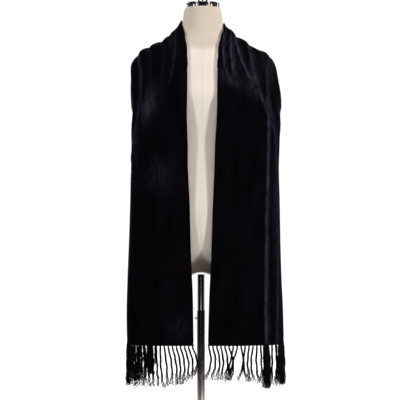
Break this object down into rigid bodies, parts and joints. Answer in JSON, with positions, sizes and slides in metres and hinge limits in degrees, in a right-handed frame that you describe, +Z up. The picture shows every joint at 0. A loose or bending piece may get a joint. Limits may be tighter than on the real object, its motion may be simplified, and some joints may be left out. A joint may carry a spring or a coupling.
{
  "type": "velvet scarf on a dress form",
  "caption": "Long velvet scarf with fringed ends, worn open round the neck of a limbless dress form on a height-adjustable stand.",
  "frame": {"origin": "middle of the base's underside, on the floor", "axes": "+Z up along the pole, -Y towards the front where both ends hang, +X to the right of the front view"},
  "size_m": [0.4418, 0.38, 1.5599],
  "materials": {
    "velvet": "deep black silk velvet with a short soft pile and a faint violet sheen",
    "fringe_yarn": "twisted matt yarn, frayed at the tips",
    "linen": "cream linen stretched over the form, fine plain weave",
    "bottom_plate": "smooth off-white board",
    "dark_metal": "dark polished metal",
    "polished_steel": "bright polished tube",
    "base_metal": "satin grey metal"
  },
  "bodies": {
    "stand": {"base_plate": "base_metal", "base_hub": "base_metal", "pole_sleeve": "polished_steel", "height_screw": "polished_steel"},
    "form": {"pole_rod": "polished_steel", "form_torso": "linen", "form_bottom_plate": "bottom_plate", "neck_cap": "dark_metal", "finial_rod_1": "dark_metal", "finial_rod_2": "dark_metal", "finial_rod_3": "dark_metal", "finial_knob": "dark_metal", "scarf_left_end": "velvet", "scarf_neck_stretch": "velvet", "scarf_right_end": "velvet", "fringe_left": "fringe_yarn", "fringe_right": "fringe_yarn"}
  },
  "joints": [
    {"name": "height_slide", "type": "slide", "parent": "stand", "child": "form", "axis": [0, 0, 1], "range_m": [-0.08, 0.25]}
  ]
}
